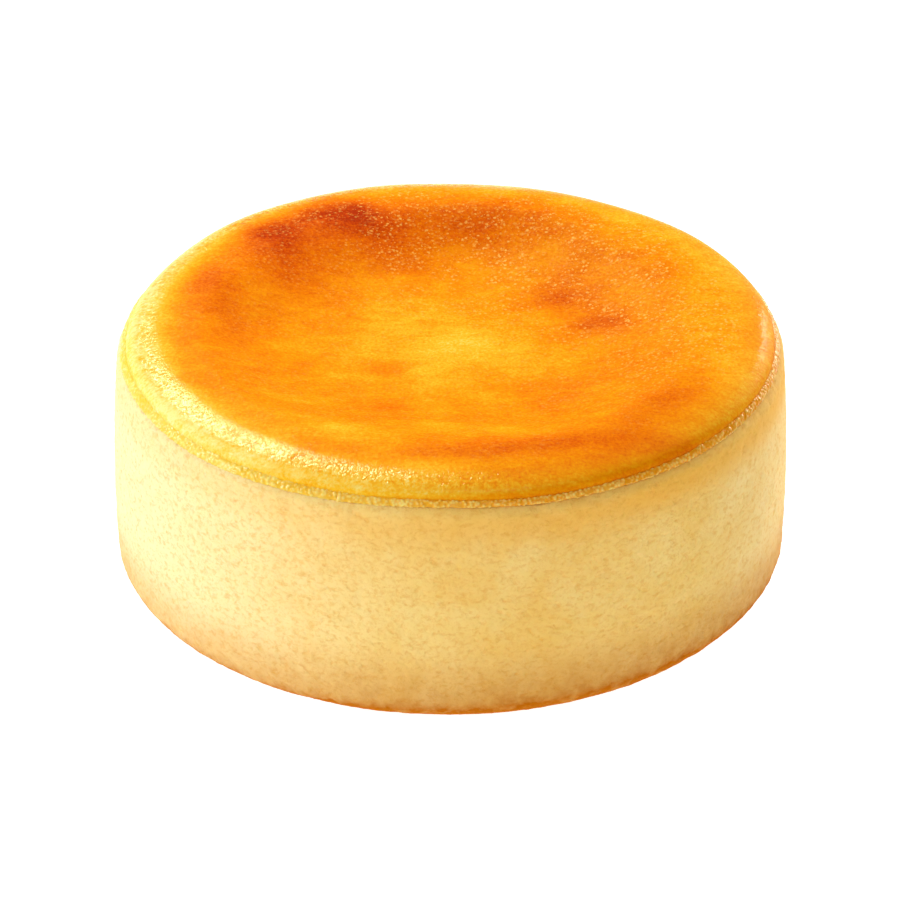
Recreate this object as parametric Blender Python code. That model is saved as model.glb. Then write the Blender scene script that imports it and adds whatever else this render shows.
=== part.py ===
"""A round baked cheesecake, whole and uncut, standing on its flat underside.

One solid: a cream body with a rounded foot, a soft ledge round its top edge, and over it
a browned crust with a rolled rim that has sunk in the middle. Metres, +Z up. The origin
is the centre of the underside.
"""

import math

import bmesh
import bpy

# Driving sizes of the cake.
CAKE_RADIUS = 0.075
LEDGE_HEIGHT = 0.0545
CREST_HEIGHT = 0.0592
DISH_DEPTH = 0.0060

# The body: a foot with an elliptical corner, and a wall that leans in a little.
FOOT_INSET = 0.0146
FOOT_RISE = 0.0074
WALL_TOP_RADIUS = 0.982 * CAKE_RADIUS
WALL_SWELL = 0.00035
LEDGE_INSET = 0.0022
LEDGE_RISE = 0.0030

# The groove between ledge and crust, and the crust's rolled rim.
GROOVE_RADIUS = 0.0703
GROOVE_DEPTH = 0.0004
RIM_RADIUS = 0.0715
RIM_FOOT_RISE = 0.0009
RIM_ROLL = 0.0154
RIM_SQUARENESS = 2.6
DISH_STEEPNESS = 6

# How finely each stretch of the outline is divided.
STEPS_AROUND = 96
UNDERSIDE_RINGS = 2
FOOT_RINGS = 7
WALL_RINGS = 8
LEDGE_RINGS = 4
RIM_RINGS = 8
DISH_RINGS = 11

# Slow unevenness, each as (waves round the cake, size in metres, phase in radians).
WALL_WAVES = ((2, 0.00030, 0.6), (3, 0.00022, 2.1), (7, 0.00010, 4.0))
SEAM_WAVES = ((3, 0.00022, 1.2), (5, 0.00018, 3.3), (11, 0.00010, 0.4))
CREST_WAVES = ((2, 0.00018, 5.1), (4, 0.00016, 2.6), (9, 0.00006, 1.5))
CREST_TILT = 0.00030
CREST_TILT_TOWARDS = math.radians(118.0)
DISH_WAVES = ((3, 0.00080, 0.9), (5, 0.00050, 3.8), (8, 0.00025, 5.5))

# The baked colour of the whole, in linear light.
CAKE_COLOUR = (0.83, 0.53, 0.14, 1.0)
CAKE_ROUGHNESS = 0.55
MERGE_DISTANCE = 1e-6


def clear_scene():
    """Removes whatever the file opened with."""
    for obj in list(bpy.data.objects):
        bpy.data.objects.remove(obj)


def blend(low, high, share):
    """The value at that share of the way from low to high."""
    return low + (high - low) * share


def quarter(steps):
    """Shares (cosine, sine) of a quarter turn, from 0 to 90 degrees, without its first point."""
    for step in range(1, steps + 1):
        angle = 0.5 * math.pi * step / steps
        yield math.cos(angle), math.sin(angle)


def underside_points():
    """The flat underside, from its centre out to where the foot starts to curve."""
    flat_radius = CAKE_RADIUS - FOOT_INSET
    return [(flat_radius * ring / UNDERSIDE_RINGS, 0.0) for ring in range(UNDERSIDE_RINGS + 1)]


def foot_points():
    """The foot's elliptical corner, up to the wall."""
    flat_radius = CAKE_RADIUS - FOOT_INSET
    return [
        (flat_radius + FOOT_INSET * sine, FOOT_RISE * (1.0 - cosine))
        for cosine, sine in quarter(FOOT_RINGS)
    ]


def wall_points():
    """The wall, a little full at half height and narrower at the top."""
    bottom, top = FOOT_RISE, LEDGE_HEIGHT - LEDGE_RISE
    points = []
    for ring in range(1, WALL_RINGS + 1):
        share = ring / WALL_RINGS
        swell = WALL_SWELL * math.sin(math.pi * share)
        points.append((blend(CAKE_RADIUS, WALL_TOP_RADIUS, share ** 2) + swell, blend(bottom, top, share)))
    return points


def ledge_points():
    """The soft edge at the top of the wall, and the groove just inside it."""
    points = []
    for cosine, sine in quarter(LEDGE_RINGS):
        radius = WALL_TOP_RADIUS - LEDGE_INSET * (1.0 - cosine)
        points.append((radius, LEDGE_HEIGHT - LEDGE_RISE * (1.0 - sine)))
    points.append((GROOVE_RADIUS, LEDGE_HEIGHT - GROOVE_DEPTH))
    return points


def rim_points():
    """The crust's rolled rim, from the groove up to its crest, rounder than an ellipse at its edge."""
    low = LEDGE_HEIGHT + RIM_FOOT_RISE
    power = 2.0 / RIM_SQUARENESS
    points = [(RIM_RADIUS, low)]
    for cosine, sine in quarter(RIM_RINGS):
        radius = RIM_RADIUS - RIM_ROLL * (1.0 - max(cosine, 0.0) ** power)
        points.append((radius, blend(low, CREST_HEIGHT, sine ** power)))
    return points


def dish_points():
    """The sunken middle, steepest just inside the crest and level at the centre."""
    crest_radius = RIM_RADIUS - RIM_ROLL
    points = []
    for ring in range(1, DISH_RINGS + 1):
        share = 1.0 - ring / DISH_RINGS
        rise = share ** DISH_STEEPNESS * (1.0 + DISH_STEEPNESS * (1.0 - share))
        points.append((crest_radius * share, CREST_HEIGHT - DISH_DEPTH * (1.0 - rise)))
    return points


def waves(terms, angle):
    """The sum of those waves at that angle round the cake."""
    return sum(size * math.sin(count * angle + phase) for count, size, phase in terms)


def smooth_step(low, high, value):
    """0 below low, 1 above high, and an even curve between."""
    share = min(1.0, max(0.0, (value - low) / (high - low)))
    return share * share * (3.0 - 2.0 * share)


def make_uneven(mesh):
    """Moves the turned surface by its slow waves, and leaves the underside flat."""
    seam_low = LEDGE_HEIGHT - 3.0 * LEDGE_RISE
    crest_radius = RIM_RADIUS - RIM_ROLL
    for vertex in mesh.verts:
        x, y, z = vertex.co
        radius, angle = math.hypot(x, y), math.atan2(y, x)
        on_wall = smooth_step(0.0, FOOT_RISE, z) * smooth_step(0.5 * crest_radius, CAKE_RADIUS, radius)
        on_seam = smooth_step(seam_low, LEDGE_HEIGHT, z) * smooth_step(crest_radius, GROOVE_RADIUS, radius)
        on_top = smooth_step(seam_low, LEDGE_HEIGHT, z)
        on_crest = on_top * smooth_step(0.4 * crest_radius, crest_radius, radius) * (1.0 - on_seam)
        in_dish = on_top * (radius / crest_radius) ** 2
        in_dish *= 1.0 - smooth_step(0.7 * crest_radius, crest_radius, radius)
        outward = on_wall * waves(WALL_WAVES, angle)
        tilt = CREST_TILT * math.cos(angle - CREST_TILT_TOWARDS) * on_top * radius / CAKE_RADIUS
        lift = tilt + on_seam * waves(SEAM_WAVES, angle) + on_crest * waves(CREST_WAVES, angle)
        lift += in_dish * waves(DISH_WAVES, angle)
        if radius > 0.0:
            vertex.co.x += outward * x / radius
            vertex.co.y += outward * y / radius
        vertex.co.z += lift


def turned_cake():
    """Turns the outline about Z into one closed mesh."""
    outline = underside_points() + foot_points() + wall_points()
    outline += ledge_points() + rim_points() + dish_points()
    mesh = bmesh.new()
    corners = [mesh.verts.new((radius, 0.0, height)) for radius, height in outline]
    edges = [mesh.edges.new(pair) for pair in zip(corners, corners[1:])]
    bmesh.ops.spin(
        mesh,
        geom=corners + edges,
        cent=(0.0, 0.0, 0.0),
        axis=(0.0, 0.0, 1.0),
        angle=2.0 * math.pi,
        steps=STEPS_AROUND,
        use_merge=True,
    )
    bmesh.ops.remove_doubles(mesh, verts=mesh.verts, dist=MERGE_DISTANCE)
    make_uneven(mesh)
    bmesh.ops.recalc_face_normals(mesh, faces=mesh.faces)
    return mesh


def baked_material():
    """One plain baked colour for the whole cake."""
    material = bpy.data.materials.new("baked_cheesecake")
    material.use_nodes = True
    shader = material.node_tree.nodes["Principled BSDF"]
    shader.inputs["Base Color"].default_value = CAKE_COLOUR
    shader.inputs["Roughness"].default_value = CAKE_ROUGHNESS
    shader.inputs["Metallic"].default_value = 0.0
    return material


def make_cheesecake():
    """The cake as one named object."""
    turned = turned_cake()
    data = bpy.data.meshes.new("cheesecake")
    turned.to_mesh(data)
    turned.free()
    data.shade_smooth()
    data.materials.append(baked_material())
    cake = bpy.data.objects.new("cheesecake", data)
    bpy.context.scene.collection.objects.link(cake)


clear_scene()
make_cheesecake()
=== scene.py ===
"""The looks of a whole baked cheesecake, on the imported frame.

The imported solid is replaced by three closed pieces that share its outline: the cream body,
the browned crust with its rolled rim and sunken middle, and the line of moist froth that
fills the seam between them. Sizes are metres, +Z is up and the photograph looks along +Y.
"""

import itertools
import logging
import math
from dataclasses import dataclass, field
from enum import Enum
from typing import Iterable, Sequence

import bpy
import numpy as np
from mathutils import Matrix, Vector


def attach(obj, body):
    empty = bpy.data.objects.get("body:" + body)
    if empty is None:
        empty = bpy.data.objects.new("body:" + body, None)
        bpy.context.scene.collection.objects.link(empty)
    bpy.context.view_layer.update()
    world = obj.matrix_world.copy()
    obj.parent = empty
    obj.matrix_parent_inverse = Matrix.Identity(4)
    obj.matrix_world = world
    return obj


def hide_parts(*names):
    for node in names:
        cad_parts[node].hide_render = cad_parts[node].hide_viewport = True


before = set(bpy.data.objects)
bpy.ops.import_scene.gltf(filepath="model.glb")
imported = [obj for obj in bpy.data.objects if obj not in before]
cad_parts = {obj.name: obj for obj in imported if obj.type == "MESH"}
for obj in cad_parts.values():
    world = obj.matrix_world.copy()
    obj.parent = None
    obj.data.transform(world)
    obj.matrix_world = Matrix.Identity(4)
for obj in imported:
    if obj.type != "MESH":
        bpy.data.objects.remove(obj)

LOG = logging.getLogger("cheesecake")
CAD_NODE = "cheesecake"
BODY = "root"

Wave = tuple[int, float, float]
Colour = tuple[float, float, float]
Paint = tuple[float, float, float, float]
Place = tuple[float, float, float]
Socket = bpy.types.NodeSocket
Faces = list[tuple[int, ...]]


# Numbers over a surface


class Side(Enum):
    """Which way a blend of values runs over a surface."""

    RISING = "rising"
    FALLING = "falling"


class Cap(Enum):
    """Which way the hidden flat face of a piece looks."""

    UP = "up"
    DOWN = "down"


@dataclass(frozen=True)
class Fade:
    """An even curve between two values of whatever it is laid over."""

    low: float
    high: float
    side: Side = Side.RISING

    def at(self, value: np.ndarray) -> np.ndarray:
        """The curve's height, from 0 to 1, at each value.

        Args:
            value: the numbers that the curve is laid over.

        Returns:
            0 below low and 1 above high for a rising curve, and the reverse for a falling one.
        """
        share = np.clip((value - self.low) / (self.high - self.low), 0.0, 1.0)
        curve = share * share * (3.0 - 2.0 * share)
        return curve if self.side is Side.RISING else 1.0 - curve


def wave_sum(terms: Iterable[Wave], angle: np.ndarray) -> np.ndarray:
    """The sum of waves round the cake.

    Args:
        terms: the waves, each as (count, size, phase).
        angle: where round the cake, in radians.

    Returns:
        The summed height at each angle.
    """
    total = np.zeros_like(angle)
    for count, size, phase in terms:
        total += size * np.sin(count * angle + phase)
    return total


class SpaceNoise:
    """Seeded noise over space: smooth gradients, layered octaves and round cells."""

    TABLE = 4096
    BRIGHTEN = 1.7
    OCTAVE_SHIFT = 17.3

    def __init__(self, seed: int) -> None:
        """Draws the lattice's gradients and cell points.

        Args:
            seed: the number that fixes all draws.
        """
        source = np.random.default_rng(seed)
        self._order = source.permutation(self.TABLE)
        gradients = source.normal(size=(self.TABLE, 3))
        self._gradients = gradients / np.linalg.norm(gradients, axis=1, keepdims=True)
        self._offsets = source.uniform(0.0, 1.0, size=(self.TABLE, 3))

    def _key(self, cells: np.ndarray) -> np.ndarray:
        """One table index for each lattice cell.

        Args:
            cells: whole lattice places, one to a row.

        Returns:
            The index of each row.
        """
        last = self.TABLE - 1
        mixed = self._order[cells[:, 0] & last]
        mixed = self._order[(mixed + cells[:, 1]) & last]
        return self._order[(mixed + cells[:, 2]) & last]

    def smooth(self, points: np.ndarray) -> np.ndarray:
        """Gradient noise.

        Args:
            points: places, with one unit to a lattice cell.

        Returns:
            A number from about -1 to 1 at each place.
        """
        cells = np.floor(points).astype(np.int64)
        local = points - cells
        ease = local ** 3 * (local * (local * 6.0 - 15.0) + 10.0)
        total = np.zeros(len(points))
        for corner in itertools.product((0, 1), repeat=3):
            step = np.array(corner)
            slope = self._gradients[self._key(cells + step)]
            weight = np.prod(np.where(step == 1, ease, 1.0 - ease), axis=1)
            total += weight * np.sum((local - step) * slope, axis=1)
        return total * self.BRIGHTEN

    def layered(self, points: np.ndarray, octaves: int, gain: float = 0.5) -> np.ndarray:
        """Octaves of smooth noise, each twice as fine as the last.

        Args:
            points: places, with one unit to a cell of the first octave.
            octaves: how many.
            gain: each octave's strength as a share of the last one's.

        Returns:
            The sum at each place.
        """
        total = np.zeros(len(points))
        strength = 1.0
        for octave in range(octaves):
            total += strength * self.smooth(points * 2.0 ** octave + self.OCTAVE_SHIFT * octave)
            strength *= gain
        return total

    def nearest(self, points: np.ndarray) -> np.ndarray:
        """The distance to the nearest scattered cell point.

        Args:
            points: places, with one unit to a cell.

        Returns:
            The distance at each place, in cells.
        """
        cells = np.floor(points).astype(np.int64)
        best = np.full(len(points), np.inf)
        for corner in itertools.product((-1, 0, 1), repeat=3):
            near = cells + np.array(corner)
            gap = near + self._offsets[self._key(near)] - points
            best = np.minimum(best, np.sum(gap * gap, axis=1))
        return np.sqrt(best)


# Finishes


def linear(colour: Colour) -> Paint:
    """A colour as seen on a screen, from 0 to 255, as linear light with alpha.

    Args:
        colour: red, green and blue, from 0 to 255.

    Returns:
        The same colour as a shader takes it.
    """
    scaled = [channel / 255.0 for channel in colour]
    curved = [c / 12.92 if c <= 0.04045 else ((c + 0.055) / 1.055) ** 2.4 for c in scaled]
    return curved[0], curved[1], curved[2], 1.0


@dataclass(frozen=True)
class Layer:
    """One layer of shader noise: its size in metres and how it is folded."""

    size: float
    detail: float = 3.0
    roughness: float = 0.55
    warp: float = 0.0


@dataclass(frozen=True)
class Band:
    """A range of values, and the range that it is carried to."""

    low: float
    high: float
    to_low: float = 0.0
    to_high: float = 1.0


@dataclass(frozen=True)
class Domes:
    """Round domes on scattered points: how far apart, and their radius as a share of that."""

    spacing: float
    reach: float


class Graph:
    """Adds nodes to one material and joins them by name."""

    def __init__(self, name: str) -> None:
        """Starts a material with its one principled shader.

        Args:
            name: the material's name.
        """
        self.material = bpy.data.materials.new(name)
        self.material.use_nodes = True
        self.tree = self.material.node_tree
        self.shader = self.tree.nodes["Principled BSDF"]

    def add(self, kind: str, **settings: object) -> bpy.types.Node:
        """One new node.

        Args:
            kind: the node's type.
            settings: the properties to set on it.

        Returns:
            The node.
        """
        node = self.tree.nodes.new(kind)
        for name, value in settings.items():
            setattr(node, name, value)
        return node

    def join(self, source: Socket, target: Socket) -> None:
        """Joins an output to an input."""
        self.tree.links.new(source, target)

    def feed(self, value: Socket | float | Paint, target: Socket) -> None:
        """Joins a socket to an input, or sets the input to a plain value.

        Args:
            value: the socket or the value.
            target: the input.
        """
        if isinstance(value, Socket):
            self.join(value, target)
        else:
            target.default_value = value

    def shade(self, value: Socket, name: str) -> None:
        """Joins an output to the shader's input of that name."""
        self.join(value, self.shader.inputs[name])

    def math(
        self, operation: str, first: Socket | float, second: Socket | float, clamp: bool = False
    ) -> Socket:
        """The result of one operation on two numbers.

        Args:
            operation: the operation's name.
            first: the first number.
            second: the second number.
            clamp: whether the result is held between 0 and 1.

        Returns:
            The result.
        """
        node = self.add("ShaderNodeMath", operation=operation, use_clamp=clamp)
        self.feed(first, node.inputs[0])
        self.feed(second, node.inputs[1])
        return node.outputs[0]

    def vector_math(self, operation: str, first: Socket) -> bpy.types.Node:
        """One operation on a vector.

        Args:
            operation: the operation's name.
            first: the vector.

        Returns:
            The operation's node, for its other inputs and its outputs.
        """
        node = self.add("ShaderNodeVectorMath", operation=operation)
        self.join(first, node.inputs[0])
        return node

    def position(self) -> Socket:
        """Where the point is on the object, in metres."""
        return self.add("ShaderNodeTexCoord").outputs["Object"]

    def scaled(self, vector: Socket, scale: Place) -> Socket:
        """The vector with each of its parts multiplied.

        Args:
            vector: the vector.
            scale: a factor for each part.

        Returns:
            The scaled vector.
        """
        node = self.add("ShaderNodeMapping")
        self.join(vector, node.inputs["Vector"])
        node.inputs["Scale"].default_value = scale
        return node.outputs[0]

    def noise(self, vector: Socket, layer: Layer) -> Socket:
        """Layered noise.

        Args:
            vector: where it is looked up.
            layer: its size and folding.

        Returns:
            A number from 0 to 1.
        """
        node = self.add("ShaderNodeTexNoise")
        self.join(vector, node.inputs["Vector"])
        node.inputs["Scale"].default_value = 1.0 / layer.size
        node.inputs["Detail"].default_value = layer.detail
        node.inputs["Roughness"].default_value = layer.roughness
        node.inputs["Distortion"].default_value = layer.warp
        return node.outputs["Fac"]

    def cells(self, vector: Socket, spacing: float) -> Socket:
        """The distance to the nearest of scattered points.

        Args:
            vector: where it is looked up.
            spacing: about how far apart the points are, in metres.

        Returns:
            The distance, as a share of the spacing.
        """
        node = self.add("ShaderNodeTexVoronoi", feature="F1")
        self.join(vector, node.inputs["Vector"])
        node.inputs["Scale"].default_value = 1.0 / spacing
        return node.outputs["Distance"]

    def jittered(self, vector: Socket, size: float, reach: float) -> Socket:
        """The vector pushed about by noise, so that what is drawn on it has ragged outlines.

        Args:
            vector: the vector.
            size: the noise's size in metres.
            reach: how far it pushes, in metres.

        Returns:
            The pushed vector.
        """
        node = self.add("ShaderNodeTexNoise")
        self.join(vector, node.inputs["Vector"])
        node.inputs["Scale"].default_value = 1.0 / size
        push = self.vector_math("MULTIPLY_ADD", node.outputs["Color"])
        push.inputs[1].default_value = (reach, reach, reach)
        self.join(vector, push.inputs[2])
        return push.outputs[0]

    def domes(self, vector: Socket, domes: Domes) -> Socket:
        """Round domes on scattered points, 0 between them and 1 at their tops."""
        gap = self.math("DIVIDE", self.cells(vector, domes.spacing), domes.reach)
        return self.math("SUBTRACT", 1.0, self.math("MULTIPLY", gap, gap), clamp=True)

    def attribute(self, name: str) -> Socket:
        """A number that the mesh carries at each of its points."""
        return self.add("ShaderNodeAttribute", attribute_name=name).outputs["Fac"]

    def span(self, value: Socket, band: Band) -> Socket:
        """The value carried from one range to another and held inside it.

        Args:
            value: the value.
            band: both ranges.

        Returns:
            The carried value.
        """
        node = self.add("ShaderNodeMapRange", clamp=True)
        self.join(value, node.inputs["Value"])
        node.inputs["From Min"].default_value = band.low
        node.inputs["From Max"].default_value = band.high
        node.inputs["To Min"].default_value = band.to_low
        node.inputs["To Max"].default_value = band.to_high
        return node.outputs[0]

    def ramp(self, value: Socket, stops: Sequence[tuple[float, Colour]]) -> Socket:
        """A colour along some stops.

        Args:
            value: where along them, from 0 to 1.
            stops: each stop's place and colour, in order.

        Returns:
            The colour.
        """
        node = self.add("ShaderNodeValToRGB")
        self.join(value, node.inputs[0])
        elements = node.color_ramp.elements
        elements[0].position, elements[1].position = stops[0][0], stops[-1][0]
        elements[0].color, elements[1].color = linear(stops[0][1]), linear(stops[-1][1])
        for place, colour in stops[1:-1]:
            elements.new(place).color = linear(colour)
        return node.outputs[0]

    def mix(self, share: Socket, first: Socket | Paint, second: Socket | Paint) -> Socket:
        """Two colours mixed.

        Args:
            share: how much of the second colour.
            first: the first colour.
            second: the second colour.

        Returns:
            The mixed colour.
        """
        node = self.add("ShaderNodeMix", data_type="RGBA", blend_type="MIX")
        self.join(share, node.inputs[0])
        self.feed(first, node.inputs[6])
        self.feed(second, node.inputs[7])
        return node.outputs[2]

    def relief(self, layers: Sequence[tuple[Socket, float]]) -> Socket:
        """Bumps laid one over the other.

        Args:
            layers: each bump's height from 0 to 1, and that height in metres.

        Returns:
            The bumped normal.
        """
        lower: Socket | None = None
        for height, metres in layers:
            node = self.add("ShaderNodeBump")
            node.inputs["Strength"].default_value = 1.0
            node.inputs["Distance"].default_value = metres
            self.join(height, node.inputs["Height"])
            if lower is not None:
                self.join(lower, node.inputs["Normal"])
            lower = node.outputs[0]
        return lower


@dataclass(frozen=True)
class Moisture:
    """How a baked surface takes light below and above its colour."""

    scatter: float
    scatter_depth: float
    scatter_reach: Colour
    specular: float
    coat: float
    coat_roughness: float
    bend: float = 1.4

    def dress(self, shader: bpy.types.Node) -> None:
        """Sets the numbers that are the same all over the surface.

        Args:
            shader: the surface's principled shader.
        """
        shader.inputs["Subsurface Weight"].default_value = self.scatter
        shader.inputs["Subsurface Scale"].default_value = self.scatter_depth
        shader.inputs["Subsurface Radius"].default_value = self.scatter_reach
        shader.inputs["Specular IOR Level"].default_value = self.specular
        shader.inputs["Coat Weight"].default_value = self.coat
        shader.inputs["Coat Roughness"].default_value = self.coat_roughness
        shader.inputs["IOR"].default_value = self.bend


@dataclass(frozen=True)
class CrumbFinish:
    """Matt cream crumb with fine ochre specks, a few pits, a browned foot and paler sides with painted
    sheen.
    """

    moisture: Moisture = Moisture(0.35, 0.004, (1.0, 0.62, 0.25), 0.02, 0.0, 0.5)
    pale: Colour = (252, 220, 140)
    deep: Colour = (247, 206, 114)
    # Paler crumb colour, which also stands for the painted sheen on the wall's left and far right.
    fair: Colour = (252, 242, 196)
    speck: Colour = (232, 172, 74)
    moist: Colour = (246, 184, 70)
    browned: Colour = (190, 106, 0)
    moist_share: float = 0.75
    cloud: Layer = Layer(0.013, 3.0, 0.6, 0.4)
    cloud_band: Band = Band(0.3, 0.7)
    crumb: Layer = Layer(0.0015, 3.0, 0.6, 0.4)
    crumb_squash: Place = (1.0, 1.0, 1.4)
    speck_band: Band = Band(0.50, 0.72, 0.0, 0.50)
    dust: Layer = Layer(0.0008, 2.0, 0.6, 0.5)
    dust_band: Band = Band(0.52, 0.7, 0.0, 0.28)
    spots: Layer = Layer(0.0035, 4.0, 0.65, 0.2)
    spot_band: Band = Band(0.3, 0.7, 0.75, 1.25)
    rough_band: Band = Band(0.3, 0.7, 0.52, 0.72)
    pore_spacing: float = 0.0016
    pore_squash: Place = (1.0, 1.0, 1.2)
    pore_band: Band = Band(0.05, 0.5)
    grit: Layer = Layer(0.0005, 3.0, 0.6)
    dent_depth: float = 0.00018
    pore_depth: float = 0.00010
    grit_depth: float = 0.00010

    def material(self) -> bpy.types.Material:
        """Builds the crumb's nodes.

        Returns:
            The material.
        """
        graph = Graph("cream_crumb")
        place = graph.position()
        crumb = graph.noise(graph.scaled(place, self.crumb_squash), self.crumb)
        specks = graph.span(crumb, self.speck_band)
        graph.shade(self._colour(graph, place, specks), "Base Color")
        graph.shade(graph.span(crumb, self.rough_band), "Roughness")
        graph.shade(self._bumps(graph, place, specks), "Normal")
        self.moisture.dress(graph.shader)
        return graph.material

    def _colour(self, graph: Graph, place: Socket, specks: Socket) -> Socket:
        """Cream in clouds, paler with painted sheen and moister where the mesh says, then specks and
        toast.

        Args:
            graph: the material's nodes.
            place: where the point is.
            specks: how much speck colour each point takes.

        Returns:
            The colour.
        """
        cloud = graph.span(graph.noise(place, self.cloud), self.cloud_band)
        base = graph.mix(cloud, linear(self.pale), linear(self.deep))
        # Paler crumb and painted sheen, where the mesh's fair numbers say.
        base = graph.mix(graph.attribute("fair"), base, linear(self.fair))
        damp = graph.math("MULTIPLY", graph.attribute("damp"), self.moist_share)
        base = graph.mix(damp, base, linear(self.moist))
        base = graph.mix(specks, base, linear(self.speck))
        dust = graph.span(graph.noise(place, self.dust), self.dust_band)
        base = graph.mix(dust, base, linear(self.speck))
        spots = graph.span(graph.noise(place, self.spots), self.spot_band)
        toast = graph.math("MULTIPLY", graph.attribute("toast"), spots, clamp=True)
        return graph.mix(toast, base, linear(self.browned))

    def _bumps(self, graph: Graph, place: Socket, specks: Socket) -> Socket:
        """Dents under the specks, pores and fine grit.

        Args:
            graph: the material's nodes.
            place: where the point is.
            specks: how much speck colour each point takes.

        Returns:
            The bumped normal.
        """
        pores = graph.cells(graph.scaled(place, self.pore_squash), self.pore_spacing)
        holes = graph.span(pores, self.pore_band)
        grit = graph.noise(place, self.grit)
        dents = graph.math("SUBTRACT", 1.0, specks)
        depths = ((dents, self.dent_depth), (holes, self.pore_depth), (grit, self.grit_depth))
        return graph.relief(depths)


@dataclass(frozen=True)
class CrustFinish:
    """Moist browned skin, mottled from golden to red brown, with fine pale pimples that also carry
    painted glints.
    """

    moisture: Moisture = Moisture(0.12, 0.002, (1.0, 0.4, 0.08), 0.03, 0.0, 0.11)
    stops: tuple[tuple[float, Colour], ...] = (
        (0.00, (254, 240, 160)),
        (0.12, (252, 220, 106)),
        (0.26, (249, 194, 44)),
        (0.42, (243, 160, 8)),
        (0.58, (235, 132, 1)),
        (0.74, (220, 102, 0)),
        (0.88, (198, 72, 0)),
        (1.00, (170, 46, 0)),
    )
    # Pale pimple colour, partly pale pimples and partly painted glints.
    bead_and_painted_glint: Colour = (255, 214, 110)
    cloud: Layer = Layer(0.011, 4.0, 0.62, 0.8)
    cloud_share: float = 0.26
    streak: Layer = Layer(0.0045, 4.0, 0.6, 0.9)
    streak_squash: Place = (0.55, 1.3, 1.0)
    streak_share: float = 0.30
    grain: Layer = Layer(0.0007, 2.0, 0.65)
    grain_share: float = 0.46
    rough_band: Band = Band(0.3, 0.7, 0.34, 0.5)
    wrinkle: Layer = Layer(0.0009, 1.0, 0.5, 1.0)
    wrinkle_ring: float = 0.066
    wrinkle_stretch: float = 0.75
    # How strongly the wrinkles' painted shade and highlight brown and pale the rim.
    painted_wrinkle_share: float = 0.6
    painted_wrinkle_middle: float = 0.04
    ragged_size: float = 0.0007
    ragged_reach: float = 0.0008
    large_beads: Domes = Domes(0.0013, 0.33)
    small_beads: Domes = Domes(0.0009, 0.25)
    threads: Layer = Layer(0.0014, 2.0, 0.6, 0.8)
    thread_squash: Place = (0.8, 1.3, 1.0)
    thread_band: Band = Band(0.57, 0.69, 0.0, 0.34)
    crowd_band: Band = Band(0.38, 0.58, 0.15, 1.0)
    wet_band: Band = Band(0.0, 0.25)
    # How strongly the painted glints pale the pimples.
    painted_glint_share: float = 0.80
    bead_coat: float = 0.05
    rim_coat: float = 0.75
    skin_depths: Place = (0.00012, 0.00002, 0.00008)
    coat_depths: tuple[float, float] = (0.00020, 0.00004)

    def material(self) -> bpy.types.Material:
        """Builds the crust's nodes.

        Returns:
            The material.
        """
        graph = Graph("baked_crust")
        place = graph.position()
        cloud = graph.noise(place, self.cloud)
        grain = graph.noise(place, self.grain)
        on_rim = graph.attribute("rim")
        wrinkle = self._wrinkle(graph, place, on_rim)
        beads = self._beads(graph, place, cloud)
        brown = self._brown(graph, place, cloud, grain)
        # Painted shade and highlight: the rim's wrinkle troughs are painted browner and their crests
        # paler.
        painted_wrinkle_shade = graph.math("SUBTRACT", self.painted_wrinkle_middle, wrinkle)
        painted_wrinkle_shade = graph.math("MULTIPLY", painted_wrinkle_shade, self.painted_wrinkle_share)
        brown = graph.math("ADD", brown, graph.math("MULTIPLY", painted_wrinkle_shade, on_rim), clamp=True)
        # Painted glints: pimples are painted pale, thickest at the back right where the back light would
        # reflect.
        painted_glints = graph.math("MULTIPLY", graph.attribute("glint"), self.painted_glint_share)
        painted_glints = graph.math("MULTIPLY", beads, painted_glints)
        colour = graph.mix(painted_glints, graph.ramp(brown, self.stops), linear(self.bead_and_painted_glint))
        self.moisture.dress(graph.shader)
        graph.shade(colour, "Base Color")
        graph.shade(graph.span(grain, self.rough_band), "Roughness")
        skin = graph.relief(tuple(zip((wrinkle, beads, grain), self.skin_depths)))
        graph.shade(skin, "Normal")
        coat = graph.relief(tuple(zip((wrinkle, beads), self.coat_depths)))
        graph.shade(coat, "Coat Normal")
        on_beads = graph.math("MULTIPLY", graph.span(beads, self.wet_band), self.bead_coat)
        along_rim = graph.math("MULTIPLY", on_rim, self.rim_coat)
        graph.shade(graph.math("MAXIMUM", on_beads, along_rim), "Coat Weight")
        return graph.material

    def _brown(self, graph: Graph, place: Socket, cloud: Socket, grain: Socket) -> Socket:
        """How browned the skin is: what the mesh says, with clouds, streaks and grain.

        Args:
            graph: the material's nodes.
            place: where the point is.
            cloud: the broad noise.
            grain: the fine noise.

        Returns:
            The browning, from 0 to 1.
        """
        streak = graph.noise(graph.scaled(place, self.streak_squash), self.streak)
        brown = graph.attribute("toast")
        shares = (self.cloud_share, self.streak_share, self.grain_share)
        for layer, share in zip((cloud, streak, grain), shares):
            drift = graph.math("MULTIPLY", graph.math("SUBTRACT", layer, 0.5), share)
            brown = graph.math("ADD", brown, drift, clamp=True)
        return brown

    def _beads(self, graph: Graph, place: Socket, cloud: Socket) -> Socket:
        """Ragged pimples and threads, thicker in the clouds and none at the edge.

        Args:
            graph: the material's nodes.
            place: where the point is.
            cloud: the broad noise.

        Returns:
            How far the skin is raised, from 0 to 1.
        """
        ragged = graph.jittered(place, self.ragged_size, self.ragged_reach)
        large = graph.domes(ragged, self.large_beads)
        beads = graph.math("MAXIMUM", large, graph.domes(ragged, self.small_beads))
        threads = graph.noise(graph.scaled(place, self.thread_squash), self.threads)
        beads = graph.math("MAXIMUM", beads, graph.span(threads, self.thread_band))
        beads = graph.math("MULTIPLY", beads, graph.span(cloud, self.crowd_band))
        inside = graph.math("SUBTRACT", 1.0, graph.attribute("edge"))
        return graph.math("MULTIPLY", beads, inside)

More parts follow.
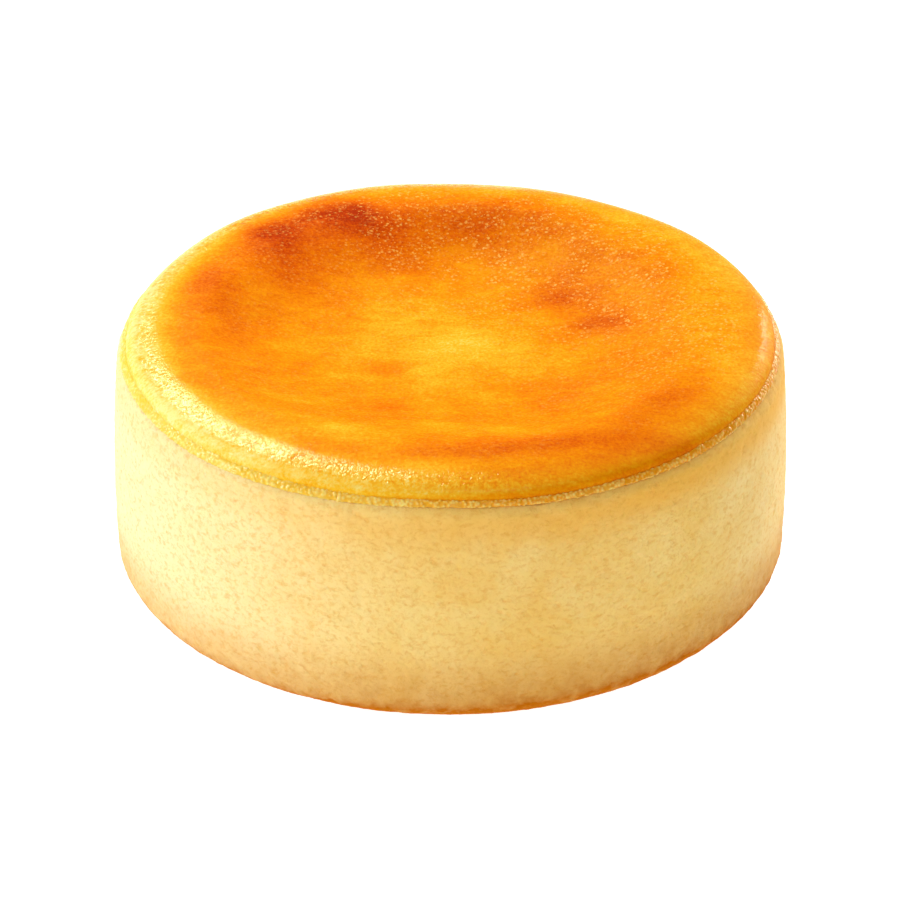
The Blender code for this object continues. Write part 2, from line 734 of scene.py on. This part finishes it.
    def _wrinkle(self, graph: Graph, place: Socket, on_rim: Socket) -> Socket:
        """Fine wrinkles on the rim, in a space squeezed so that they run across it.

        Args:
            graph: the material's nodes.
            place: where the point is.
            on_rim: 1 on the part of the rim that wrinkles.

        Returns:
            The wrinkles' height, about 0.
        """
        split = graph.add("ShaderNodeSeparateXYZ")
        graph.join(place, split.inputs[0])
        flat = graph.add("ShaderNodeCombineXYZ")
        graph.join(split.outputs[0], flat.inputs[0])
        graph.join(split.outputs[1], flat.inputs[1])
        radius = graph.vector_math("LENGTH", flat.outputs[0]).outputs["Value"]
        unit = graph.vector_math("NORMALIZE", flat.outputs[0])
        ring = graph.vector_math("SCALE", unit.outputs[0])
        ring.inputs["Scale"].default_value = self.wrinkle_ring
        parts = graph.add("ShaderNodeSeparateXYZ")
        graph.join(ring.outputs[0], parts.inputs[0])
        squeezed = graph.add("ShaderNodeCombineXYZ")
        graph.join(parts.outputs[0], squeezed.inputs[0])
        graph.join(parts.outputs[1], squeezed.inputs[1])
        graph.join(graph.math("MULTIPLY", radius, self.wrinkle_stretch), squeezed.inputs[2])
        height = graph.noise(squeezed.outputs[0], self.wrinkle)
        return graph.math("MULTIPLY", graph.math("SUBTRACT", height, 0.5), on_rim)


@dataclass(frozen=True)
class FrothFinish:
    """Moist yellow bubbles along the seam, ochre in their gaps."""

    moisture: Moisture = Moisture(0.3, 0.002, (1.0, 0.55, 0.12), 0.12, 0.34, 0.12)
    fair_bubble: Colour = (255, 240, 150)
    fair_gap: Colour = (251, 208, 70)
    baked_bubble: Colour = (255, 222, 120)
    baked_gap: Colour = (248, 160, 14)
    drift: Layer = Layer(0.004)
    drift_band: Band = Band(0.3, 0.7, -0.25, 0.25)
    fine: Layer = Layer(0.0005, 2.0)
    rough_band: Band = Band(0.3, 0.7, 0.25, 0.4)
    fine_depth: float = 0.00008

    def material(self) -> bpy.types.Material:
        """Builds the froth's nodes.

        Returns:
            The material.
        """
        graph = Graph("seam_froth")
        place = graph.position()
        drift = graph.span(graph.noise(place, self.drift), self.drift_band)
        gap = graph.math("ADD", graph.attribute("toast"), drift, clamp=True)
        fair = graph.mix(gap, linear(self.fair_bubble), linear(self.fair_gap))
        baked = graph.mix(gap, linear(self.baked_bubble), linear(self.baked_gap))
        graph.shade(graph.mix(graph.attribute("side"), fair, baked), "Base Color")
        fine = graph.noise(place, self.fine)
        graph.shade(graph.span(fine, self.rough_band), "Roughness")
        graph.shade(graph.relief(((fine, self.fine_depth),)), "Normal")
        self.moisture.dress(graph.shader)
        return graph.material


# Meshes


def as_faces(rows: np.ndarray) -> Faces:
    """Rows of point numbers as faces."""
    return [tuple(row) for row in rows.tolist()]


def normals_of(points: np.ndarray, quads: np.ndarray) -> np.ndarray:
    """The unit normal at each point of a mesh of four-sided faces.

    Args:
        points: the mesh's points.
        quads: the point numbers of each face.

    Returns:
        One normal to a row.
    """
    corners = points[quads]
    across = np.cross(corners[:, 2] - corners[:, 0], corners[:, 3] - corners[:, 1])
    total = np.zeros_like(points)
    for corner in range(4):
        np.add.at(total, quads[:, corner], across)
    return total / np.maximum(np.linalg.norm(total, axis=1, keepdims=True), 1e-12)


def close_inside(
    points: np.ndarray, loop: np.ndarray, shrink: float, height: float, cap: Cap
) -> tuple[np.ndarray, Faces]:
    """Closes an open edge with a smaller loop under it and one flat face.

    Args:
        points: the piece's points.
        loop: the point numbers along the open edge, anticlockwise from above.
        shrink: the new loop's radius as a share of the edge's.
        height: the new loop's height.
        cap: which way the flat face looks.

    Returns:
        The points with the new loop, and the new faces.
    """
    drawn = points[loop] * np.array((shrink, shrink, 1.0))
    drawn[:, 2] = height
    low = np.arange(len(points), len(points) + len(loop))
    next_edge, next_low = np.roll(loop, -1), np.roll(low, -1)
    if cap is Cap.UP:
        band, flat = (loop, next_edge, next_low, low), low
    else:
        band, flat = (loop, low, next_low, next_edge), low[::-1]
    faces = as_faces(np.stack(band, axis=1)) + [tuple(flat.tolist())]
    return np.vstack((points, drawn)), faces


@dataclass
class Shell:
    """The points, faces and carried numbers of one closed piece."""

    points: np.ndarray
    faces: Faces
    carried: dict[str, np.ndarray]

    def to_object(self, name: str, material: bpy.types.Material) -> bpy.types.Object:
        """Makes the shell a smooth object that rides on the cake's one body.

        Args:
            name: the piece's name.
            material: the finish of its whole surface.

        Returns:
            The linked object.
        """
        data = bpy.data.meshes.new(name)
        data.from_pydata(self.points.tolist(), [], self.faces)
        data.validate()
        for label, values in self.carried.items():
            filled = np.zeros(len(self.points), dtype=np.float32)
            filled[:len(values)] = values
            data.attributes.new(label, "FLOAT", "POINT").data.foreach_set("value", filled)
        data.shade_smooth()
        data.materials.append(material)
        piece = bpy.data.objects.new(name, data)
        bpy.context.scene.collection.objects.link(piece)
        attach(piece, BODY)
        triangles = sum(len(face) - 2 for face in self.faces)
        LOG.info("%s: %d points, %d triangles", name, len(self.points), triangles)
        return piece


@dataclass
class CakeForm:
    """The outline that all pieces share, from the underside up over the crust."""

    radius: float = 0.075
    ledge_height: float = 0.0545
    crest_height: float = 0.0592
    dish_depth: float = 0.0060
    foot_inset: float = 0.0146
    foot_rise: float = 0.0074
    wall_top: float = 0.07365
    wall_swell: float = 0.00035
    ledge_inset: float = 0.0022
    ledge_rise: float = 0.0030
    groove_radius: float = 0.0703
    groove_depth: float = 0.0004
    rim_radius: float = 0.0715
    rim_foot_rise: float = 0.0009
    rim_roll: float = 0.0154
    rim_squareness: float = 2.6
    dish_steepness: int = 6
    wall_waves: tuple[Wave, ...] = ((2, 0.00030, 0.6), (3, 0.00022, 2.1), (7, 0.00010, 4.0))
    seam_waves: tuple[Wave, ...] = ((3, 0.00022, 1.2), (5, 0.00018, 3.3), (11, 0.00010, 0.4))
    crest_waves: tuple[Wave, ...] = ((2, 0.00018, 5.1), (4, 0.00016, 2.6), (9, 0.00006, 1.5))
    dish_waves: tuple[Wave, ...] = ((3, 0.00080, 0.9), (5, 0.00050, 3.8), (8, 0.00025, 5.5))
    crest_tilt: float = 0.00030
    tilt_towards: float = math.radians(118.0)

    @property
    def crest_radius(self) -> float:
        """Where the crust is highest."""
        return self.rim_radius - self.rim_roll

    def uneven(self, points: np.ndarray) -> np.ndarray:
        """Moves the turned surface by its slow waves.

        Args:
            points: points of the turned surface.

        Returns:
            The moved points.
        """
        x, y, z = points.T
        radius, angle = np.hypot(x, y), np.arctan2(y, x)
        crest = self.crest_radius
        on_top = Fade(self.ledge_height - 3.0 * self.ledge_rise, self.ledge_height).at(z)
        on_wall = Fade(0.0, self.foot_rise).at(z) * Fade(0.5 * crest, self.radius).at(radius)
        on_seam = on_top * Fade(crest, self.groove_radius).at(radius)
        on_crest = on_top * Fade(0.4 * crest, crest).at(radius) * (1.0 - on_seam)
        in_dish = on_top * (radius / crest) ** 2 * Fade(0.7 * crest, crest, Side.FALLING).at(radius)
        grow = 1.0 + on_wall * wave_sum(self.wall_waves, angle) / np.maximum(radius, 0.01)
        lift = self.crest_tilt * np.cos(angle - self.tilt_towards) * on_top * radius / self.radius
        lift += on_seam * wave_sum(self.seam_waves, angle) + on_crest * wave_sum(self.crest_waves, angle)
        lift += in_dish * wave_sum(self.dish_waves, angle)
        return np.stack((x * grow, y * grow, z + lift), axis=1)


@dataclass
class CakeBody:
    """The cream body: underside, rounded foot, wall and ledge, closed under the crust."""

    form: CakeForm
    finish: CrumbFinish
    around: int = 860
    foot_rings: int = 29
    wall_rings: int = 76
    ledge_rings: int = 9
    lid_shrink: float = 0.97
    lid_drop: float = 0.0050
    swell: tuple[float, float] = (0.0075, 0.00010)
    bump_cell: Place = (0.0021, 0.0021, 0.0017)
    bump_depth: float = 0.00010
    dimple_cell: float = 0.0062
    dimple_depth: float = 0.00022
    dimple_edge: Fade = Fade(0.10, 0.34, Side.FALLING)
    pit_cell: float = 0.021
    pit_shift: float = 0.4
    pit_depth: float = 0.00045
    pit_toast: float = 0.34
    pit_edge: Fade = Fade(0.030, 0.062, Side.FALLING)
    foot_line: Fade = Fade(0.0012, 0.0086, Side.FALLING)
    foot_glow: Fade = Fade(0.003, 0.024, Side.FALLING)
    noise: SpaceNoise = field(default_factory=lambda: SpaceNoise(11))

    def outline(self) -> list[tuple[float, float]]:
        """Radius and height from the flat underside's edge up to the groove.

        Returns:
            The outline's points, from below.
        """
        form = self.form
        flat = form.radius - form.foot_inset
        foot = [
            (flat + form.foot_inset * math.sin(a), form.foot_rise * (1.0 - math.cos(a)))
            for a in np.linspace(0.0, 0.5 * math.pi, self.foot_rings)
        ]
        wall = []
        top = form.ledge_height - form.ledge_rise
        for share in np.linspace(0.0, 1.0, self.wall_rings)[1:]:
            swell = form.wall_swell * math.sin(math.pi * share)
            wide = form.radius + (form.wall_top - form.radius) * share ** 2 + swell
            wall.append((wide, form.foot_rise + (top - form.foot_rise) * share))
        ledge = []
        for a in np.linspace(0.0, 0.5 * math.pi, self.ledge_rings)[1:]:
            wide = form.wall_top - form.ledge_inset * (1.0 - math.cos(a))
            ledge.append((wide, form.ledge_height - form.ledge_rise * (1.0 - math.sin(a))))
        return foot + wall + ledge

    def _turned(self) -> tuple[np.ndarray, np.ndarray, np.ndarray]:
        """The outline turned about Z.

        Returns:
            The points, their numbers ring by ring, and the four-sided faces between rings.
        """
        outline = np.array(self.outline())
        angle = np.linspace(0.0, 2.0 * math.pi, self.around, endpoint=False)
        x = outline[:, 0][:, None] * np.cos(angle)[None, :]
        y = outline[:, 0][:, None] * np.sin(angle)[None, :]
        z = np.repeat(outline[:, 1][:, None], self.around, axis=1)
        points = self.form.uneven(np.stack((x.ravel(), y.ravel(), z.ravel()), axis=1))
        index = np.arange(len(points)).reshape(len(outline), self.around)
        after = np.roll(index, -1, axis=1)
        corners = (index[:-1], after[:-1], after[1:], index[1:])
        quads = np.stack([corner.ravel() for corner in corners], axis=1)
        return points, index, quads

    def _toast(self, points: np.ndarray, pits: np.ndarray) -> np.ndarray:
        """How browned each point is, most at the foot and in the pits.

        Args:
            points: the wall's points.
            pits: how much browning the pits add.

        Returns:
            The browning, from 0 to 1.
        """
        height = points[:, 2]
        # Browner towards the right: partly uneven baking, partly painted shade on the side away from the
        # light.
        baked = 0.7 + 0.4 * Fade(-0.05, 0.03).at(points[:, 0])
        toast = baked * (1.2 * self.foot_line.at(height) + 0.60 * self.foot_glow.at(height))
        return np.clip(toast + pits, 0.0, 1.0)

    def _damp(self, points: np.ndarray) -> np.ndarray:
        """How moist the crumb looks: under the ledge, and more on the right.

        Args:
            points: the wall's points.

        Returns:
            The moisture, from 0 to 1.
        """
        x, _, z = points.T
        under_ledge = Fade(0.042, 0.0505).at(z) * (1.0 - 0.35 * Fade(0.0512, 0.0534).at(z))
        return under_ledge * (0.25 + 0.75 * Fade(-0.05, 0.05).at(x))

    def _pale_and_painted_sheen(self, points: np.ndarray) -> np.ndarray:
        """How pale the crumb is painted, partly paler crumb and partly painted sheen: most on the left,
        some at the far right, less at the foot.

        Args:
            points: the wall's points.

        Returns:
            The paleness with its painted sheen, from 0 to 1.
        """
        x, y, z = points.T
        fair = 0.74 * Fade(-0.072, 0.0, Side.FALLING).at(x) * (1.0 - 0.7 * Fade(0.0, 0.05).at(y))
        fair += 0.32 * Fade(0.050, 0.074).at(x)
        return fair * (0.5 + 0.5 * Fade(0.004, 0.020).at(z))

    def build(self) -> bpy.types.Object:
        """Turns the outline, roughens it and closes it above and below.

        Returns:
            The body.
        """
        points, index, quads = self._turned()
        height, ledge = points[:, 2].copy(), self.form.ledge_height
        free = Fade(0.0, 0.004).at(height)
        free *= Fade(ledge - 0.0004, ledge + 0.001, Side.FALLING).at(height)
        swell_cell, swell_depth = self.swell
        relief = swell_depth * self.noise.layered(points / swell_cell, 2)
        relief += self.bump_depth * self.noise.layered(points / np.array(self.bump_cell), 3, 0.6)
        dimples = self.dimple_edge.at(self.noise.nearest(points / self.dimple_cell))
        pits = self.pit_edge.at(self.noise.nearest(points / self.pit_cell + self.pit_shift))
        relief -= self.dimple_depth * dimples
        relief -= self.pit_depth * pits
        points += normals_of(points, quads) * (relief * free)[:, None]
        toast = self._toast(points, self.pit_toast * pits * free)
        lid_height = ledge - self.lid_drop
        points, lid = close_inside(points, index[-1], self.lid_shrink, lid_height, Cap.UP)
        # fair carries paler crumb and painted sheen.
        carried = {"toast": toast, "damp": self._damp(points), "fair": self._pale_and_painted_sheen(points)}
        faces = as_faces(quads) + [tuple(index[0][::-1].tolist())] + lid
        return Shell(points, faces, carried).to_object("cake_body", self.finish.material())


@dataclass(frozen=True)
class BakePatch:
    """A soft oval of the crust that took more or less heat, sizes in metres, turn in degrees."""

    x: float
    y: float
    long: float
    short: float
    turn: float
    strength: float

    def at(self, points: np.ndarray) -> np.ndarray:
        """How much browning the patch adds.

        Args:
            points: points of the crust.

        Returns:
            The added browning at each point.
        """
        turn = math.radians(self.turn)
        dx, dy = points[:, 0] - self.x, points[:, 1] - self.y
        along = (dx * math.cos(turn) + dy * math.sin(turn)) / self.long
        across = (dy * math.cos(turn) - dx * math.sin(turn)) / self.short
        return self.strength * np.exp(-(along ** 2 + across ** 2))


# The crust's darker spots and then its paler ones, as the photograph shows them.
BAKE_PATCHES = (
    BakePatch(-0.026, 0.051, 0.016, 0.009, 155.0, 0.44),
    BakePatch(-0.015, 0.043, 0.010, 0.006, 160.0, 0.06),
    BakePatch(-0.041, 0.042, 0.015, 0.008, 135.0, 0.40),
    BakePatch(-0.053, 0.014, 0.015, 0.006, 100.0, 0.18),
    BakePatch(-0.036, 0.022, 0.010, 0.007, 120.0, 0.12),
    BakePatch(0.004, 0.049, 0.015, 0.007, 0.0, 0.24),
    BakePatch(0.020, -0.0535, 0.028, 0.0036, 8.0, 0.17),
    BakePatch(0.045, -0.036, 0.017, 0.005, 40.0, 0.12),
    BakePatch(0.034, -0.057, 0.018, 0.004, 28.0, 0.11),
    BakePatch(0.023, 0.020, 0.009, 0.005, 10.0, 0.24),
    BakePatch(0.034, 0.007, 0.006, 0.004, 0.0, 0.18),
    BakePatch(0.028, 0.008, 0.009, 0.017, 0.0, 0.11),
    BakePatch(-0.0145, -0.011, 0.006, 0.004, -20.0, 0.22),
    BakePatch(-0.013, -0.0300, 0.005, 0.0028, 5.0, 0.13),
    BakePatch(0.020, -0.019, 0.008, 0.004, 0.0, 0.12),
    BakePatch(-0.011, 0.033, 0.010, 0.005, 0.0, 0.12),
    BakePatch(0.000, -0.003, 0.025, 0.014, 8.0, -0.15),
    BakePatch(-0.012, 0.015, 0.010, 0.005, 0.0, -0.08),
    BakePatch(-0.022, -0.049, 0.018, 0.006, -24.0, -0.17),
    BakePatch(0.002, -0.043, 0.024, 0.005, 0.0, -0.12),
    BakePatch(-0.037, -0.028, 0.017, 0.008, -42.0, -0.08),
    BakePatch(-0.043, 0.0500, 0.013, 0.0045, 40.0, -0.18),
    BakePatch(0.058, 0.004, 0.036, 0.009, 96.0, -0.12),
    BakePatch(0.043, 0.042, 0.014, 0.007, 135.0, -0.11),
)


@dataclass
class CakeCrust:
    """The browned crust: rolled rim, crest and sunken middle, closed below."""

    form: CakeForm
    finish: CrustFinish
    patches: tuple[BakePatch, ...] = BAKE_PATCHES
    rings: int = 148
    smooth_rings: int = 6
    skirt_shrink: float = 0.95
    skirt_drop: float = 0.0040
    swell: tuple[float, float] = (0.010, 0.00012)
    ripple: tuple[float, float] = (0.0028, 0.000035)
    grain: tuple[float, float] = (0.0011, 0.000022)
    calm_edge: Fade = Fade(0.056, 0.064)
    cloud: tuple[float, float] = (0.013, 0.05)
    noise: SpaceNoise = field(default_factory=lambda: SpaceNoise(23))

    def profile(self) -> tuple[np.ndarray, np.ndarray]:
        """The crust's outline from the centre out over the rim and in to the groove.

        Returns:
            The radius and the height at each ring, evenly spaced along the outline.
        """
        form = self.form
        reach = np.linspace(0.0, 1.0, 300)
        rise = reach ** form.dish_steepness * (1.0 + form.dish_steepness * (1.0 - reach))
        dish_z = form.crest_height - form.dish_depth * (1.0 - rise)
        low = form.ledge_height + form.rim_foot_rise
        turn = np.linspace(0.5 * math.pi, 0.0, 160)[1:]
        square = 2.0 / form.rim_squareness
        rim_r = form.rim_radius - form.rim_roll * (1.0 - np.maximum(np.cos(turn), 0.0) ** square)
        rim_z = low + (form.crest_height - low) * np.maximum(np.sin(turn), 0.0) ** square
        under = np.linspace(0.0, 1.0, 12)[1:]
        under_r = form.rim_radius + (form.groove_radius - form.rim_radius) * under
        under_z = low + (form.ledge_height - form.groove_depth - low) * under
        radius = np.concatenate((form.crest_radius * reach, rim_r, under_r))
        height = np.concatenate((dish_z, rim_z, under_z))
        path = np.concatenate(([0.0], np.cumsum(np.hypot(np.diff(radius), np.diff(height)))))
        share = np.linspace(0.0, path[-1], self.rings + 1)
        return np.interp(share, path, radius), np.interp(share, path, height)

    def _disc(self) -> tuple[np.ndarray, np.ndarray, np.ndarray, np.ndarray]:
        """A square sheet of points wrapped into rings.

        Returns:
            Each point's ring and angle, the four-sided faces, and the outer edge's points.
        """
        count = 2 * self.rings
        step = np.arange(count + 1) - self.rings
        u, v = np.meshgrid(step, step, indexing="ij")
        ring = np.maximum(np.abs(u), np.abs(v))
        side = np.where(ring == 0, 1, ring)
        right, back = u == ring, (v == ring) & (u != ring)
        left, front = (u == -ring) & ~back, (v == -ring) & ~right & (u != -ring)
        turn = np.zeros(ring.shape)
        for here, eighths in (
            (right, v / side),
            (back, 2.0 - u / side),
            (left, 4.0 - v / side),
            (front, 6.0 + u / side),
        ):
            turn = np.where(here, eighths, turn)
        index = np.arange((count + 1) ** 2).reshape(count + 1, count + 1)
        corners = (index[:-1, :-1], index[1:, :-1], index[1:, 1:], index[:-1, 1:])
        quads = np.stack([corner.ravel() for corner in corners], axis=1)
        edge = np.concatenate((index[:-1, 0], index[-1, :-1], index[:0:-1, -1], index[0, :0:-1]))
        return ring.ravel(), 0.25 * math.pi * turn.ravel(), quads, edge

    def _toast(self, points: np.ndarray) -> np.ndarray:
        """How browned each point is, with painted sheen on the back rim and partly painted light and
        shade from left to right.

        Args:
            points: points of the crust.

        Returns:
            The browning, from 0 for cream to 1 for red brown.
        """
        form = self.form
        x, y, z = points.T
        radius = np.hypot(x, y)
        inner = Fade(0.018, 0.046).at(radius)
        outer = Fade(0.0575, 0.0708, Side.FALLING).at(radius)
        # Paler towards the left and browner towards the right: partly uneven baking, partly painted
        # light on the lit left and painted shade on the right.
        bake_and_painted_shade = Fade(-0.078, 0.045).at(x)
        edge = 0.02 + 0.36 * bake_and_painted_shade
        brown = edge + (0.45 + 0.09 * inner - edge) * outer
        # Painted sheen: the back of the rim is painted paler where the back light shines on it.
        brown -= 0.03 * Fade(0.054, 0.064).at(radius) * Fade(0.02, 0.06).at(y)
        for patch in self.patches:
            brown += patch.at(points)
        cell, strength = self.cloud
        brown += strength * self.noise.layered(points / cell, 3)
        # Browner along the crust's lowest edge, at the crease above the froth.
        low = Fade(form.ledge_height + 0.0008, form.ledge_height + 0.0028, Side.FALLING).at(z)
        brown += 0.14 * low * Fade(0.068, 0.070).at(radius)
        beyond_groove = radius > form.groove_radius + 0.0002
        brown = np.where(beyond_groove, np.maximum(brown, 0.04 + 0.3 * bake_and_painted_shade), brown)
        return np.clip(brown, 0.0, 1.0)

    def _carried(self, points: np.ndarray, radius: np.ndarray) -> dict[str, np.ndarray]:
        """The numbers that the finish reads from the mesh.

        Args:
            points: points of the crust.
            radius: how far each one was from the axis before the skin's relief.

        Returns:
            Browning, wrinkled rim, plain edge, and where the pimples get painted glints.
        """
        x, y, _ = points.T
        rim = Fade(0.0630, 0.0668).at(radius) * Fade(0.0690, 0.0706, Side.FALLING).at(radius)
        rim *= 1.0 - 0.68 * Fade(-0.005, 0.040).at(x)
        # Painted glints: most at the back right, where the back light would reflect off the pimples.
        glint = 0.25 + 0.75 * Fade(-0.010, 0.042).at(0.64 * x + 0.77 * y)
        return {
            "toast": self._toast(points),
            "rim": rim,
            "edge": Fade(0.060, 0.0685).at(radius),
            "glint": glint,
        }

    def build(self) -> bpy.types.Object:
        """Wraps the sheet over the profile, roughens it and closes it below.

        Returns:
            The crust.
        """
        ring, angle, quads, edge = self._disc()
        profile_r, profile_z = self.profile()
        x, y = profile_r[ring] * np.cos(angle), profile_r[ring] * np.sin(angle)
        points = self.form.uneven(np.stack((x, y, profile_z[ring]), axis=1))
        radius = np.hypot(points[:, 0], points[:, 1])
        bare = Fade(self.rings - self.smooth_rings, self.rings, Side.FALLING).at(ring)
        calm = 1.0 - 0.65 * self.calm_edge.at(radius)
        (swell, swell_depth), (ripple, ripple_depth) = self.swell, self.ripple
        grain, grain_depth = self.grain
        relief = swell_depth * self.noise.layered(points / swell, 2)
        relief += ripple_depth * self.noise.layered(points / ripple, 2, 0.6)
        relief += grain_depth * self.noise.smooth(points / grain)
        points += normals_of(points, quads) * (relief * bare * calm)[:, None]
        carried = self._carried(points, radius)
        skirt_height = self.form.ledge_height - self.skirt_drop
        closed, skirt = close_inside(points, edge, self.skirt_shrink, skirt_height, Cap.DOWN)
        shell = Shell(closed, as_faces(quads) + skirt, carried)
        return shell.to_object("cake_crust", self.finish.material())


@dataclass
class SeamFroth:
    """The ring of tiny bubbles that fills the seam between body and crust."""

    form: CakeForm
    finish: FrothFinish
    around: int = 2300
    across: int = 30
    half_width: float = 0.00104
    half_height: float = 0.00036
    centre_radius: float = 0.07190
    centre_rise: float = 0.00046
    tilt: float = math.radians(-51.0)
    bubble_cell: float = 0.00070
    bubble_reach: float = 0.62
    bubble_rise: float = 0.00030
    sink: float = 0.00009
    swell_cell: float = 0.006
    noise: SpaceNoise = field(default_factory=lambda: SpaceNoise(37))

    def _ring(self) -> np.ndarray:
        """A tilted oval turned along the ledge, fullest on the left.

        Returns:
            The ring's points, oval by oval.
        """
        angle = np.linspace(0.0, 2.0 * math.pi, self.around, endpoint=False)
        turn = np.linspace(0.0, 2.0 * math.pi, self.across, endpoint=False)
        left, right = Fade(-0.1, 0.9).at(-np.cos(angle)), Fade(0.3, 1.0).at(np.cos(angle))
        fullness = 0.72 + 0.63 * left + 0.20 * right
        wide = self.half_width * fullness[:, None] * np.cos(turn)[None, :]
        thick = self.half_height * np.sin(turn)[None, :]
        radius = self.centre_radius + wide * math.cos(self.tilt) - thick * math.sin(self.tilt)
        centre_z = self.form.ledge_height + self.centre_rise
        z = centre_z + wide * math.sin(self.tilt) + thick * math.cos(self.tilt)
        x, y = np.cos(angle)[:, None] * radius, np.sin(angle)[:, None] * radius
        return self.form.uneven(np.stack((x.ravel(), y.ravel(), z.ravel()), axis=1))

    def build(self) -> bpy.types.Object:
        """Swells the ring into bubbles.

        Returns:
            The froth.
        """
        points = self._ring()
        index = np.arange(len(points)).reshape(self.around, self.across)
        along, over = np.roll(index, -1, axis=0), np.roll(index, -1, axis=1)
        corners = (index, along, np.roll(along, -1, axis=1), over)
        quads = np.stack([corner.ravel() for corner in corners], axis=1)
        gap = self.noise.nearest(points / self.bubble_cell)
        bubble = np.clip(1.0 - gap / self.bubble_reach, 0.0, 1.0) ** 0.5
        swell = 0.5 + 0.5 * self.noise.layered(points / self.swell_cell, 2)
        rise = self.bubble_rise * bubble * (0.5 + 0.7 * swell) - self.sink
        points += normals_of(points, quads) * rise[:, None]
        carried = {"toast": 1.0 - bubble ** 2, "side": Fade(-0.070, 0.030).at(points[:, 0])}
        shell = Shell(points, as_faces(quads), carried)
        return shell.to_object("seam_froth", self.finish.material())


# Studio


@dataclass(frozen=True)
class Softbox:
    """One soft rectangular light that looks at the cake."""

    name: str
    place: Place
    size: tuple[float, float]
    watts: float
    tint: Colour
    aim: Place = (0.0, 0.0, 0.03)

    def build(self) -> None:
        """Adds the light."""
        data = bpy.data.lights.new(self.name, "AREA")
        data.shape = "RECTANGLE"
        data.size, data.size_y = self.size
        data.energy = self.watts
        data.color = linear(self.tint)[:3]
        lamp = bpy.data.objects.new(self.name, data)
        lamp.location = self.place
        look = Vector(self.aim) - Vector(self.place)
        lamp.rotation_euler = look.to_track_quat("-Z", "Y").to_euler()
        bpy.context.scene.collection.objects.link(lamp)


@dataclass
class Studio:
    """White floor, even surroundings, soft lights and the photograph's camera."""

    distance: float = 0.9
    elevation: float = 32.0
    aim_height: float = 0.0257
    lens: float = 157.5
    sensor: float = 36.0
    far_clip: float = 30.0
    surround: float = 0.12
    floor_half: float = 6.0
    floor_height: float = -0.0002
    floor_grey: Paint = (0.35, 0.35, 0.35, 1.0)
    floor_glow: float = 1.0
    floor_roughness: float = 0.8
    floor_specular: float = 0.1
    white: Paint = (1.0, 1.0, 1.0, 1.0)
    softboxes: tuple[Softbox, ...] = (
        Softbox("back_key", (-0.22, 0.60, 0.64), (0.24, 0.24), 4.2, (255, 234, 190)),
        Softbox("side_left", (-0.85, -0.10, 0.40), (0.60, 0.17), 5.0, (255, 252, 246)),
        Softbox("canopy", (0.00, -0.45, 1.10), (0.80, 0.60), 4.7, (255, 244, 226)),
        Softbox("front_fill", (0.30, -1.30, 0.42), (0.80, 0.50), 1.5, (255, 236, 214)),
        Softbox("edge_right", (0.57, 0.71, 0.31), (0.42, 0.36), 7.2, (255, 224, 202)),
    )

    def _floor(self) -> None:
        """Adds a wide white floor that isn't part of the cake."""
        half, height = self.floor_half, self.floor_height
        corners = [(x * half, y * half, height) for x, y in ((-1, -1), (1, -1), (1, 1), (-1, 1))]
        data = bpy.data.meshes.new("studio_floor")
        data.from_pydata(corners, [], [(0, 1, 2, 3)])
        graph = Graph("studio_white")
        graph.shader.inputs["Base Color"].default_value = self.floor_grey
        graph.shader.inputs["Emission Color"].default_value = self.white
        graph.shader.inputs["Emission Strength"].default_value = self.floor_glow
        graph.shader.inputs["Roughness"].default_value = self.floor_roughness
        graph.shader.inputs["Specular IOR Level"].default_value = self.floor_specular
        data.materials.append(graph.material)
        plane = bpy.data.objects.new("studio_floor", data)
        bpy.context.scene.collection.objects.link(plane)

    def _surroundings(self) -> None:
        """Sets even white light from all round."""
        world = bpy.data.worlds.new("studio_world")
        world.use_nodes = True
        background = world.node_tree.nodes["Background"]
        background.inputs["Color"].default_value = self.white
        background.inputs["Strength"].default_value = self.surround
        bpy.context.scene.world = world

    def _camera(self) -> None:
        """Adds the photograph's camera: a long lens, looking down on the front."""
        data = bpy.data.cameras.new("photo_camera")
        data.lens = self.lens
        data.sensor_width = self.sensor
        data.clip_end = self.far_clip
        camera = bpy.data.objects.new("photo_camera", data)
        rise = math.radians(self.elevation)
        camera.location = (0.0, -self.distance * math.cos(rise), self.distance * math.sin(rise))
        look = Vector((0.0, 0.0, self.aim_height)) - camera.location
        camera.rotation_euler = look.to_track_quat("-Z", "Y").to_euler()
        bpy.context.scene.collection.objects.link(camera)
        bpy.context.scene.camera = camera

    def build(self) -> None:
        """Sets up everything round the cake."""
        bpy.context.scene.view_settings.view_transform = "Standard"
        self._floor()
        self._surroundings()
        self._camera()
        for softbox in self.softboxes:
            softbox.build()
        LOG.info("studio: %d softboxes", len(self.softboxes))


def main() -> None:
    """Builds the cake's pieces and the studio."""
    logging.basicConfig(level=logging.INFO, format="%(name)s %(message)s")
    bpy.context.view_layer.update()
    form = CakeForm()
    body = CakeBody(form, CrumbFinish()).build()
    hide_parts(CAD_NODE)
    CakeCrust(form, CrustFinish()).build()
    SeamFroth(form, FrothFinish()).build()
    Studio().build()


if __name__ == "__main__":
    main()
